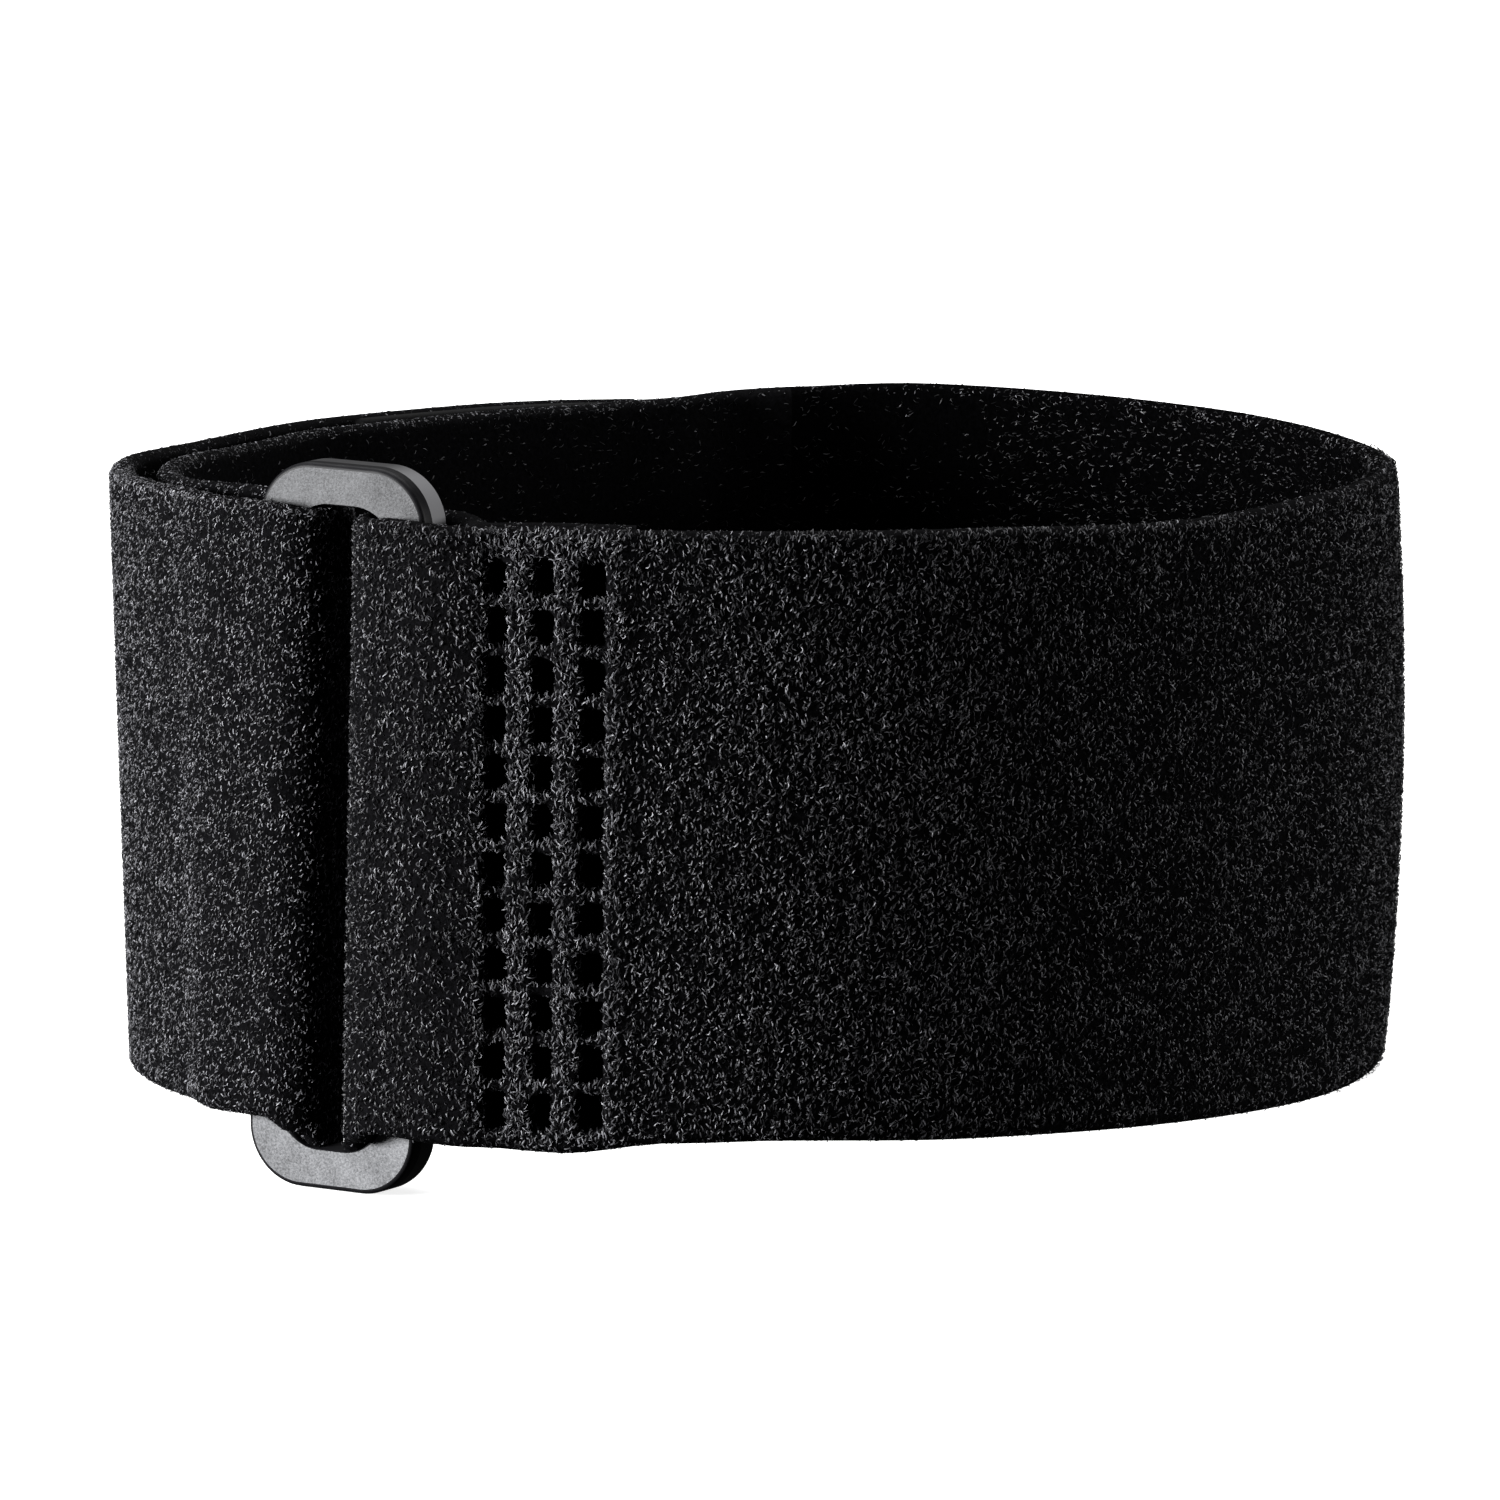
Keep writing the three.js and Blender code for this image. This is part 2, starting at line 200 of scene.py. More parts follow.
def drawnIn(angle, z):
    sway = 1 - loop["drawSway"] * np.cos(np.radians(angle))
    return loop["drawIn"] * sway * (z / band["width"] - 0.5)


def ringPlace(along, out, z):
    side = along + math.tan(math.radians(ring["lean"])) * z
    off = out - ringDepth + drawnIn(ring["angle"], z)
    x = slotX - outY * side + outX * off
    y = slotY + outX * side + outY * off
    return np.stack([x, y, z], axis=-1)


def loopPlace(along, depth, z):
    # the flat stretch at the ring goes over into the round outline
    near = fromSlot(along)
    angle = angleAt(along)
    away = ease(np.abs(near), flatReach, roundReach)
    roundX, roundY = outlinePoint(angle)
    normalX, normalY = outwards(angle)
    x = mix(slotX - outY * near, roundX, away)
    y = mix(slotY + outX * near, roundY, away)
    nx = mix(outX, normalX, away)
    ny = mix(outY, normalY, away)
    size = np.hypot(nx, ny)
    nx, ny = nx / size, ny / size
    atRight = ((1 + np.cos(np.radians(angle))) / 2) ** 2
    swell = loop["sideBulge"] * atRight * (1 - (2 * z / band["width"]) ** 2)
    off = mix(drawnIn(ring["angle"], z), drawnIn(angle, z), away) + away * swell - depth
    lean = math.tan(math.radians(ring["lean"])) * z * (1 - away)
    return np.stack([x + nx * off - ny * lean, y + ny * off + nx * lean, z], axis=-1)


def freeCover(back):
    return 1 - ease(back, band["freeLength"] + band["seatGap"], band["freeLength"] + tab["fall"])


def tabCover(back):
    inner = band["freeLength"] - tab["under"]
    tip = band["freeLength"] + tab["reach"]
    return ease(back, inner - tab["fall"], inner) * (1 - ease(back, tip, tip + tab["fall"]))


def tabDepth(back):
    return tab["thick"] / 2 + (band["thick"] + band["seatGap"]) * freeCover(back)


def mainDepth(along):
    back = girth - along
    sag = band["layerSag"] * np.sin(np.pi * np.clip(back / band["freeLength"], 0, 1)) ** 2
    layers = (band["thick"] + band["seatGap"]) * freeCover(back)
    layers = layers + (tab["thick"] + band["seatGap"]) * tabCover(back)
    away = ease(back, flatReach, 3 * flatReach)
    deep = mix(insideDepth, band["thick"] / 2 + layers + sag, away)
    return np.where(along < girth / 2, band["thick"] / 2, deep)


# The weld's dents, which also keep the pile off them

weld = {
    "columns": 3,
    "rows": 12,
    "pitch": 4.05,
    "width": 1.9,
    "height": 2.8,
    "start": 15.7,
    "lead": 1.1,  # the fold lies against the front this far before the first dents' middle
    "top": 3.9,
    "bottom": 2.5,
    "deep": 1.5,
    "narrow": 0.84,  # the middle column's dents have this share of the width
    "corner": 0.4,
    "slope": 0.5,  # run of a dent's side walls
    "puff": 0.18,  # the ribs between the dents swell by this
    "puffRun": (2, 4),  # and no more between these distances from the outer columns
    # height, waves and shift from dent to dent of the wandering outline, upright then along
    "wander": [(0.07, 5.1, 2.3), (0.05, 4.3, 1.7)],
}
rowPitch = (band["width"] - weld["top"] - weld["bottom"]) / (weld["rows"] - 1)
weldEnd = weld["start"] + (weld["columns"] - 1) * weld["pitch"]


def foldedDepth(along):
    meets = weld["start"] - weld["lead"]
    return mix(insideDepth, foldDepth, ease(along, ringWidth / 2 - ring["chamfer"], meets))


def dentShare(along, z):
    # 1 in the floor of a dent and 0 outside it, with a slightly wandering outline
    topRow = band["width"] / 2 - weld["top"]
    column = np.clip(np.round((along - weld["start"]) / weld["pitch"]), 0, weld["columns"] - 1)
    row = np.clip(np.round((topRow - z) / rowPitch), 0, weld["rows"] - 1)
    dx = along - weld["start"] - column * weld["pitch"]
    dz = z - (topRow - row * rowPitch)
    (swayUp, wavesUp, shiftUp), (swaySide, wavesSide, shiftSide) = weld["wander"]
    wander = swayUp * np.sin(wavesUp * z + shiftUp * column)
    wander = wander + swaySide * np.sin(wavesSide * along + shiftSide * row)
    wide = weld["width"] * np.where(column == 1, weld["narrow"], 1)
    beside = np.abs(dx) - wide / 2 + wander
    above = np.abs(dz) - weld["height"] / 2 + wander
    radius = weld["corner"]
    corner = np.hypot(np.maximum(beside + radius, 0), np.maximum(above + radius, 0)) - radius
    edge = np.maximum(corner, np.maximum(beside, above))
    return 1 - ease(edge, -weld["slope"] / 2, weld["slope"] / 2)


def ribSwell(along):
    near, far = weld["puffRun"]
    low = ease(along, weld["start"] - far, weld["start"] - near)
    return weld["puff"] * low * (1 - ease(along, weldEnd + near, weldEnd + far))


# Bands as closed skins on a grid of stations along and levels across


def runPlaces(start, end, depthAt, stepAt):
    # stations as ("run", place along, depth) or, round a bar of the ring, ("wrap", side, out)
    places = [start]
    heading = 1 if end > start else -1
    while heading * (end - places[-1]) > 0:
        places.append(places[-1] + heading * stepAt(places[-1]))
    along = np.array(places)
    along = start + (along - start) * (end - start) / (along[-1] - start)
    return [("run", a, d) for a, d in zip(along, depthAt(along))]


def wrapPlaces(side, steps=26):
    turns = -math.pi / 2 - side * math.pi * np.arange(1, steps) / steps
    middle = side * barPlace
    return [("wrap", middle + wrapRadius * math.cos(t), wrapRadius * math.sin(t)) for t in turns]


def fillAt(kind, along, second):
    full, none = band["fillFront"]
    if kind == "wrap":
        return band["slotFill"] * ease(-second, -none, -full)
    near = abs(float(fromSlot(along)))
    return band["slotFill"] * (second > ringDepth) * (1 - ease(near, barPlace, ringWidth / 2))


def midGrid(places, across):
    rows = []
    for kind, along, second in places:
        here = np.full(len(across), along)
        atBottom = ((1 - across) / 2) ** 3  # the fill hardly moves the upper half
        z = heightAt(here, across) - fillAt(kind, along, second) * atBottom
        rows.append(loopPlace(here, second, z) if kind == "run" else ringPlace(here, second, z))
    return np.array(rows)


def sideways(mids):
    # level direction square to the path, pointing to its right
    step = np.maximum(np.linalg.norm(np.diff(mids, axis=0), axis=2), 1e-6)[..., None]
    ahead = np.diff(mids, axis=0) / step
    between = ahead[:-1] * step[1:] + ahead[1:] * step[:-1]
    tangent = np.concatenate([ahead[:1], between, ahead[-1:]])
    normal = np.stack([tangent[..., 1], -tangent[..., 0], np.zeros(tangent.shape[:2])], axis=-1)
    return normal / np.linalg.norm(normal, axis=2, keepdims=True)


def bandSkins(places, across, thick, edgeRound):
    mids = midGrid(places, across)
    normals = sideways(mids)
    fromEdge = np.clip((1 - np.abs(across)) * band["width"] / 2 / edgeRound, 0, 1)
    half = thick / 2 * np.sqrt(1 - (1 - fromEdge) ** 2)
    return mids, normals, half


def closedBand(name, right, left):
    # right and left are the two faces as grids, which share their first and last levels
    points = np.concatenate([right, left[:, -2:0:-1]], axis=1)
    count, around = points.shape[:2]
    index = np.arange(count * around).reshape(count, around)
    following = np.roll(index, -1, axis=1)
    quads = np.stack([index[:-1], following[:-1], following[1:], index[1:]], axis=-1).reshape(-1, 4)
    levels = right.shape[1]
    caps = []
    for station, flip in ((0, True), (count - 1, False)):
        for level in range(levels - 1):
            a, b = index[station, level], index[station, level + 1]
            c = index[station, (around - level - 1) % around]
            d = index[station, (around - level) % around]
            cap = [int(v) for v in dict.fromkeys((a, b, c, d))]
            caps.append(cap[::-1] if flip else cap)
    return makeMesh(name, points.reshape(-1, 3), [q[::-1] for q in quads.tolist()] + caps)


def makeMesh(name, points, faces):
    mesh = bpy.data.meshes.new(name)
    mesh.from_pydata((np.asarray(points) * mm).tolist(), [], faces)
    mesh.polygons.foreach_set("use_smooth", [True] * len(mesh.polygons))
    mesh.update()
    piece = bpy.data.objects.new(name, mesh)
    bpy.context.scene.collection.objects.link(piece)
    return piece


def addTones(mesh, shade):
    tones = mesh.color_attributes.new("tone", "FLOAT_COLOR", "POINT")
    tones.data.foreach_set("color", np.repeat(shade, 4).astype(np.float32))


# The band

spacing = {
    "across": 0.5,  # between the levels
    "edge": [0, 0.02, 0.08, 0.2, 0.4, 0.65],  # the first levels' distances from a cut edge
    "weld": 0.3,  # between stations in the weld, at the ring and elsewhere
    "ring": 0.8,
    "plain": 2.2,
    "weldMargin": 3.5,
}


def bandStep(along):
    if weld["start"] - spacing["weldMargin"] < along < weldEnd + spacing["weldMargin"]:
        return spacing["weld"]
    near = abs(float(fromSlot(along)))
    return spacing["ring"] if near < 3 * flatReach else spacing["plain"]


def freeDepth(along):
    return np.full(len(along), band["thick"] / 2)


places = (
    runPlaces(band["foldLength"], barPlace, foldedDepth, bandStep)
    + wrapPlaces(1)
    + runPlaces(barPlace, girth - barPlace, mainDepth, bandStep)
    + wrapPlaces(-1)
    + runPlaces(-barPlace, -band["freeLength"], freeDepth, bandStep)
)
edgeLevels = 1 - np.array(spacing["edge"]) / (band["width"] / 2)
levelCount = int(band["width"] / spacing["across"])
midLevels = np.linspace(-edgeLevels[-1], edgeLevels[-1], levelCount)[1:-1]
across = np.concatenate([-edgeLevels, midLevels, edgeLevels[::-1]])
mids, normals, half = bandSkins(places, across, band["thick"], band["edgeRound"])

alongs = np.array([p[1] for p in places])
wraps = [number for number, place in enumerate(places) if place[0] == "wrap"]
firstWrap, secondWrap, lastWrap = wraps[0], wraps[len(wraps) // 2], wraps[-1]
stationNumber = np.arange(len(places))
inFold = (stationNumber < firstWrap)[:, None]
inMain = ((stationNumber > firstWrap) & (alongs > barPlace) & (alongs < girth / 2))[:, None]
grid = np.broadcast_to(alongs[:, None], mids.shape[:2])
fullness = half / half.max()
shape = ribSwell(grid) * fullness - dentShare(grid, mids[..., 2]) * weld["deep"]
shape = np.where(inFold | inMain, shape, 0)
right = mids + normals * (half[None, :] + shape * fullness)[..., None]
left = mids - normals * half[None, :, None]
strap = closedBand("strap_band", right, left)
print("band", len(places), "stations", len(across), "levels")


# Slot ring


def roundedOutline(halfWidth, halfLength, radius, steps=20):
    points = []
    for corner in range(4):
        x = (1 if corner in (0, 3) else -1) * (halfWidth - radius)
        z = (1 if corner < 2 else -1) * (halfLength - radius)
        turn = (corner + np.arange(steps + 1) / steps) * math.pi / 2
        points.append(np.stack([x + radius * np.cos(turn), z + radius * np.sin(turn)], axis=1))
    return np.concatenate(points)


def chamferRows(radius, turns):
    return [(radius * (1 - math.sin(t)), radius * (1 - math.cos(t))) for t in turns]


def ringMesh():
    halfThick = ring["thick"] / 2
    loops = []
    turns = np.radians(ring["profile"])
    front = [(halfThick - down, inset) for down, inset in chamferRows(ring["chamfer"], turns)]
    back = [(down - halfThick, inset) for down, inset in chamferRows(ring["backChamfer"], turns)]
    middle = [(halfThick - ring["chamfer"] - ring["paintedShadeStrip"], 0)]
    for out, inset in front + middle + back[::-1]:
        halves = ringWidth / 2 - inset, ringLength / 2 - inset
        loops.append((out, roundedOutline(*halves, ring["corner"] - inset)))
    for turn in np.radians(np.linspace(-90, 90, ring["slotProfile"])):
        wide = halfThick * (1 - math.cos(turn))
        far = ring["slotFlare"] * (1 - math.cos(turn))
        corner = ring["slotCorner"] + ring["flareCorner"] * wide
        outline = roundedOutline(slotWidth / 2 + wide, slotLength / 2 + far, corner)
        loops.append((halfThick * math.sin(turn), outline))
    points = np.array(
        [ringPlace(o[:, 0], np.full(len(o), out), o[:, 1] - ring["drop"]) for out, o in loops]
    )
    rows, around = points.shape[:2]
    index = np.arange(rows * around).reshape(rows, around)
    beside = np.roll(index, -1, axis=1)
    below = np.roll(index, -1, axis=0)
    quads = np.stack([index, beside, np.roll(below, -1, 1), below], axis=-1).reshape(-1, 4)
    piece = makeMesh("slot_ring_body", points.reshape(-1, 3), quads[:, ::-1].tolist())
    # the two flat faces are grained and keep crisp edges; the walls get a painted shade, nearly
    # black, and their rear part a painted highlight, paler towards the top right, with painted
    # shade elsewhere
    walls = np.ones((rows, around), int)
    walls[[2 * len(turns), rows - 1]] = 0
    walls[len(turns) : 2 * len(turns)] = 2
    sides, heights = np.concatenate([o for _, o in loops]).T
    # painted highlight and shade on the rear wall: pale towards the top right, dark elsewhere
    paintedLightShare = ease(sides, *(share * ringWidth for share in ring["paintedLightSide"]))
    tones = mix(ring["paintedRearShade"], 1, paintedLightShare * ease(heights, 0, ringLength / 4))
    faceRows = np.r_[0:around, (rows - 1) * around : rows * around]
    # painted shade on the front face, darker towards its upper end
    shaded = ease(heights[faceRows], -ringLength / 4, ringLength / 2)
    tones[faceRows] = 1 - ring["paintedTopShade"] * shaded
    addTones(piece.data, tones)
    piece.data.polygons.foreach_set("material_index", walls.ravel().tolist())
    piece.data.polygons.foreach_set("use_smooth", (walls.ravel() > 0).tolist())
    piece.data.update()
    return piece


slotRing = ringMesh()
print("slot ring", len(slotRing.data.polygons), "faces")


# Hook tab

tabPlaces = runPlaces(
    -band["freeLength"] - tab["reach"],
    -band["freeLength"] + tab["under"],
    lambda along: tabDepth(-along),
    lambda along: tab["step"],
)
tabEdge = np.array(tab["edge"])
tabAcross = np.concatenate([-tabEdge, np.linspace(-0.97, 0.97, tab["levels"]), tabEdge[::-1]])
tabMids, tabNormals, tabHalf = bandSkins(tabPlaces, tabAcross, tab["thick"], tab["edgeRound"])
tabSide = tabNormals * tabHalf[None, :, None]
hookTab = closedBand("hook_tab_tape", tabMids + tabSide, tabMids - tabSide)
print("hook tab", len(tabPlaces), "stations")


# Pile: short curled fibres that start in the band's faces and cut edges, as flat ribbons

pile = {
    # places along the band where one stretch of the pile ends and the next begins
    "frontEnd": 40,
    "middleEnd": 85,
    "rightEnd": 125,
    "leftEnd": -40,
    "rightInside": (108, 172),
    "backInside": (120, 250),
    "paintedShadeInside": 190,  # the inside's cloth gets a painted shade, darker, up to here
    "ribMargin": 2.2,
    "underMargin": 4,
    # place and density where the pile gets thinner towards the unseen back
    "behindFade": [(125, 9), (142, 2.2)],
    "freeFade": [(-58, 2.5), (-40, 15)],
    "hidden": 1.2,  # fibres on a square millimetre of a hidden face
    "hiddenEdge": 4,  # and only this near the cut edges
    "rim": 5,  # on the cut edges: elsewhere, at the left, and on the layer under the free end
    "leftRim": 24,
    "innerRim": 15,
    "lastLevel": 0.995,  # none nearer to the cut edge on a face
    "inDents": 0.4,  # and none where a dent is deeper than this share
    "root": 0.06,  # they start this deep
    "bend": 1.2,  # spread of the curl from root to tip, in radians
    "roll": 0.6,  # spread of the turn about its own length
    "arch": 0.85,  # share of a half turn in the rise
    "taper": (0.15, 0.85),  # and in the width from root to tip
    "widths": (0.7, 1.2),  # times the kind's own width
    "shades": (-1.75, 1.15),  # mean and spread of the tone's logarithm
    "rimTurn": 75,  # degrees either way from straight up on a cut edge
    # place along the band, then the share of its fibres' tone: painted light and shade in place of
    # the lamps' falloff along the front
    "paintedShadingAlong": [
        (0, 0.63), (11, 0.68), (16, 1.15), (45, 1.55), (60, 2.1), (76, 1.2),
        (90, 1.9), (102, 1.7), (108, 0.9), (118, 0.85), (130, 2.6),
    ],
    # each kind of fibre: pieces in its length, then millimetres along, across and up
    "coarse": {"steps": 3, "long": (0.22, 0.66), "wide": 0.092, "high": (0.1, 0.32)},
    "rib": {"steps": 3, "long": (0.3, 0.8), "wide": 0.085, "high": (0.1, 0.34)},
    "fine": {"steps": 2, "long": (0.22, 0.52), "wide": 0.08, "high": (0.08, 0.22)},
    "sparse": {"steps": 2, "long": (0.3, 0.7), "wide": 0.085, "high": (0.08, 0.24)},
    "short": {"steps": 2, "long": (0.2, 0.45), "wide": 0.08, "high": (0.03, 0.1)},
}


def bilinear(table, station, level):
    i = np.clip(station.astype(int), 0, table.shape[0] - 2)
    j = np.clip(np.searchsorted(across, level) - 1, 0, table.shape[1] - 2)
    u = (station - i)[:, None]
    v = ((level - across[j]) / (across[j + 1] - across[j]))[:, None]
    low = mix(table[i, j], table[i + 1, j], u)
    high = mix(table[i, j + 1], table[i + 1, j + 1], u)
    return mix(low, high, v)


def faceNormals(face, side):
    normal = np.cross(np.gradient(face, axis=0), np.gradient(face, axis=1))
    normal /= np.maximum(np.linalg.norm(normal, axis=2, keepdims=True), 1e-9)
    return normal * np.sign(np.sum(normal * normals, axis=2, keepdims=True)) * side


def scatter(density, width):
    # stations of the fibre roots, as fractions
    step = np.linalg.norm(np.diff(mids[:, len(across) // 2], axis=0), axis=1)
    total = np.concatenate([[0], np.cumsum(step * width * (density[:-1] + density[1:]) / 2)])
    return np.interp(rng.random(int(total[-1])) * total[-1], total, stationNumber)


def growFibres(name, root, normal, slant, spread, tone, kind):
    # slant is the fibres' heading in degrees from level, which they bend away from
    count = len(root)
    up = np.array([0, 0, 1.0]) - normal * normal[:, 2:3]
    flatWay = np.cross(up, normal)
    lost = np.linalg.norm(up, axis=1) < 0.2  # on a level face no way is up
    up[lost] = np.cross(normal[lost], np.array([0.3, 0.95, 0]))
    flatWay[lost] = np.cross(up[lost], normal[lost])
    up /= np.linalg.norm(up, axis=1, keepdims=True)
    flatWay /= np.linalg.norm(flatWay, axis=1, keepdims=True)
    heading = np.radians(rng.normal(slant, spread, count))
    bend = rng.normal(0, pile["bend"], count)
    long = rng.uniform(*kind["long"], count)
    high = rng.uniform(*kind["high"], count)
    parts = kind["steps"]
    point = root - normal * pile["root"]
    points = [point]
    arch = math.pi * pile["arch"]
    for k in range(parts):
        turn = heading + bend * ((k + 0.5) / parts - 0.5)
        rise = high * (math.sin(arch * (k + 1) / parts) - math.sin(arch * k / parts))
        ahead = flatWay * np.cos(turn)[:, None] + up * np.sin(turn)[:, None]
        point = point + ahead * (long / parts)[:, None] + normal * rise[:, None]
        points.append(point)
    line = np.stack(points, axis=1)
    ahead = np.gradient(line, axis=1)
    roll = rng.normal(0, pile["roll"], count)[:, None, None]
    flat = np.cross(ahead, normal[:, None, :])
    flat /= np.maximum(np.linalg.norm(flat, axis=2, keepdims=True), 1e-9)
    sideWay = flat * np.cos(roll) + normal[:, None, :] * np.sin(roll)
    taper = np.sin(np.linspace(*pile["taper"], parts + 1) * math.pi)[None, :, None] ** 0.5
    wide = kind["wide"] * rng.uniform(*pile["widths"], count)[:, None, None] * taper / 2
    ribbon = np.stack([line - sideWay * wide, line + sideWay * wide], axis=2).reshape(-1, 3)
    base = np.arange(count)[:, None] * 2 * (parts + 1) + 2 * np.arange(parts)[None, :]
    quads = np.stack([base, base + 1, base + 3, base + 2], axis=-1).reshape(-1, 4)
    shade = np.clip(rng.lognormal(*pile["shades"], count) * tone, 0, 1)
    shade = np.repeat(shade, 2 * (parts + 1))
    print(name, 2 * len(quads), "triangles")
    return ribbonMesh(name, ribbon, quads, shade)


def growPile(name, side, density, slant, spread, tone, kind):
    face = right if side > 0 else left
    station = scatter(density, band["width"])
    level = rng.uniform(-pile["lastLevel"], pile["lastLevel"], len(station))
    along = np.interp(station, stationNumber, alongs)
    root = bilinear(face, station, level)
    keep = np.ones(len(station), bool)
    if side > 0:
        number = station.astype(int)
        front = (number > firstWrap) & (along > barPlace) & (along < girth / 2)
        inDent = dentShare(along, root[:, 2]) > pile["inDents"]
        keep = ~(((number < firstWrap) | front) & inDent)
    thin = np.interp(station, stationNumber, density) <= pile["hidden"]
    keep &= ~thin | ((1 - np.abs(level)) * band["width"] / 2 < pile["hiddenEdge"])
    normal = bilinear(faceNormals(face, side), station[keep], level[keep])
    normal /= np.linalg.norm(normal, axis=1, keepdims=True)
    if side > 0:
        # painted light and shade along the front face's fibres
        tone = tone * np.interp(along[keep], *zip(*pile["paintedShadingAlong"]))
    return growFibres(name, root[keep], normal, slant, spread, tone, pile[kind])


def growRim(name, density, tone):
    station = scatter(density, 2 * band["thick"])
    end = rng.choice([-1, 1], len(station))
    level = end * across[-1]
    turn = np.radians(rng.uniform(-pile["rimTurn"], pile["rimTurn"], len(station)))[:, None]
    sideWay = bilinear(normals, station, level)
    upWay = np.array([0, 0, 1.0]) * end[:, None]
    root = bilinear(mids, station, level) + sideWay * np.sin(turn) * band["thick"] / 2
    root = root - upWay * band["edgeRound"] * (1 - np.cos(turn))
    normal = sideWay * np.sin(turn) + upWay * np.cos(turn)
    return growFibres(name, root, normal, 0, 180, tone, pile["short"])


def ribbonMesh(name, points, quads, shade):
    mesh = bpy.data.meshes.new(name)
    mesh.vertices.add(len(points))
    mesh.vertices.foreach_set("co", (points * mm).astype(np.float32).ravel())
    mesh.loops.add(4 * len(quads))
    mesh.loops.foreach_set("vertex_index", quads.astype(np.int32).ravel())
    mesh.polygons.add(len(quads))
    mesh.polygons.foreach_set("loop_start", np.arange(0, 4 * len(quads), 4, dtype=np.int32))
    mesh.polygons.foreach_set("use_smooth", np.ones(len(quads), bool))
    mesh.update(calc_edges=True)
    addTones(mesh, shade)
    piece = bpy.data.objects.new(name, mesh)
    bpy.context.scene.collection.objects.link(piece)
    return piece


inFoldRun = stationNumber < firstWrap
inMainRun = (stationNumber >= firstWrap) & (stationNumber <= secondWrap) & (alongs > 0)
inLeftWrap = (stationNumber >= secondWrap) & (stationNumber <= lastWrap)
inFreeRun = stationNumber > lastWrap
underFree = inMainRun & (girth - alongs < band["freeLength"] + pile["underMargin"])


def where(*pairs):
    # density by station: the last pair that holds wins
    density = np.zeros(len(places))
    for stations, value in pairs:
        density[stations] = value
    return density


def between(ends):
    return (alongs > ends[0]) & (alongs < ends[1])


hidden = pile["hidden"]
frontRun = inMainRun & (alongs < pile["frontEnd"])
middleRun = inMainRun & (alongs >= pile["frontEnd"]) & (alongs < pile["middleEnd"])
rightRun = inMainRun & (alongs >= pile["middleEnd"]) & (alongs < pile["rightEnd"])
behindRun = inMainRun & (alongs >= pile["rightEnd"])
endRun = inFreeRun & (alongs <= pile["leftEnd"])
onRibs = inMainRun & (alongs > weld["start"] - pile["ribMargin"])
onRibs = onRibs & (alongs < weldEnd + pile["ribMargin"])
onLeft = inLeftWrap | (inFreeRun & (alongs > pile["leftEnd"]))
onRightInside = inMainRun & between(pile["rightInside"])
onBackInside = inMainRun & between(pile["backInside"])
behind = np.where(underFree, hidden, np.interp(alongs, *zip(*pile["behindFade"])))
freeEnd = np.interp(alongs, *zip(*pile["freeFade"]))
inside = where((inMainRun, hidden), (onBackInside, 1.3), (onRightInside, 4))
# name, face, fibres on a square millimetre, slant and spread in degrees, tone, kind
grown = [
    ("pile_front", 1, where((frontRun, 12), (onRibs, 0)), 80, 34, 1.1, "coarse"),
    ("pile_ribs", 1, where((onRibs, 20)), 84, 36, 1.7, "rib"),
    ("pile_middle", 1, where((middleRun, 11)), 78, 38, 1.0, "coarse"),
    ("pile_right", 1, where((rightRun, 9)), 78, 42, 0.9, "coarse"),
    ("pile_behind", 1, np.where(behindRun, behind, 0), 60, 70, 0.9, "short"),
    ("pile_left", -1, where((onLeft, 15), (inLeftWrap, 0)), 74, 30, 1.45, "fine"),
    # painted highlight: the wrap's fibres get a higher tone, lightening them where little light
    # falls
    ("pile_left_wrap", -1, where((inLeftWrap, 15)), 74, 30, 2.4, "fine"),
    ("pile_free_end", -1, np.where(endRun, freeEnd, 0), 62, 50, 1.0, "short"),
    # painted shade: the inside's fibres get a low tone
    ("pile_inside", -1, inside, 8, 34, 0.3, "sparse"),
    ("pile_fold", 1, where((inFoldRun, 2)), 60, 60, 0.6, "sparse"),
    ("pile_under", 1, where((inFreeRun, hidden)), 60, 60, 0.8, "sparse"),
]
piles = [growPile(*row) for row in grown] + [
    growRim("pile_rim", where((~onLeft & ~underFree, pile["rim"])), 1.1),
    # painted highlight: the left's rim fibres get a higher tone where the key lamp falls
    growRim("pile_left_rim", where((onLeft, pile["leftRim"])), 2.4),
    growRim("pile_inner_rim", where((underFree & ~onLeft, pile["innerRim"])), 2.2),
]


# Materials


def newMaterial(name):
    material = bpy.data.materials.new(name)
    material.use_nodes = True
    tree = material.node_tree
    return material, tree, tree.nodes["Principled BSDF"]


def noiseNode(tree, scale, detail, roughness):
    where = tree.nodes.new("ShaderNodeTexCoord")
    noise = tree.nodes.new("ShaderNodeTexNoise")
    noise.inputs["Scale"].default_value = scale
    noise.inputs["Detail"].default_value = detail
    noise.inputs["Roughness"].default_value = roughness
    tree.links.new(where.outputs["Object"], noise.inputs["Vector"])
    return noise


def rampNode(tree, source, stops):
    ramp = tree.nodes.new("ShaderNodeValToRGB")
    while len(ramp.color_ramp.elements) < len(stops):
        ramp.color_ramp.elements.new(0.5)
    for element, (place, value) in zip(ramp.color_ramp.elements, stops):
        element.position = place
        element.color = (*value, 1)
    tree.links.new(source, ramp.inputs["Fac"])
    return ramp


def bumpNode(tree, source, strength, distance):
    bump = tree.nodes.new("ShaderNodeBump")
    bump.inputs["Strength"].default_value = strength
    bump.inputs["Distance"].default_value = distance
    tree.links.new(source, bump.inputs["Height"])
    return bump


def toneColour(tree):
    tone = tree.nodes.new("ShaderNodeVertexColor")
    tone.layer_name = "tone"
    return tone.outputs["Color"]


def setGloss(shader, finish):
    shader.inputs["Roughness"].default_value = finish["roughness"]
    shader.inputs["Specular IOR Level"].default_value = finish["gloss"]


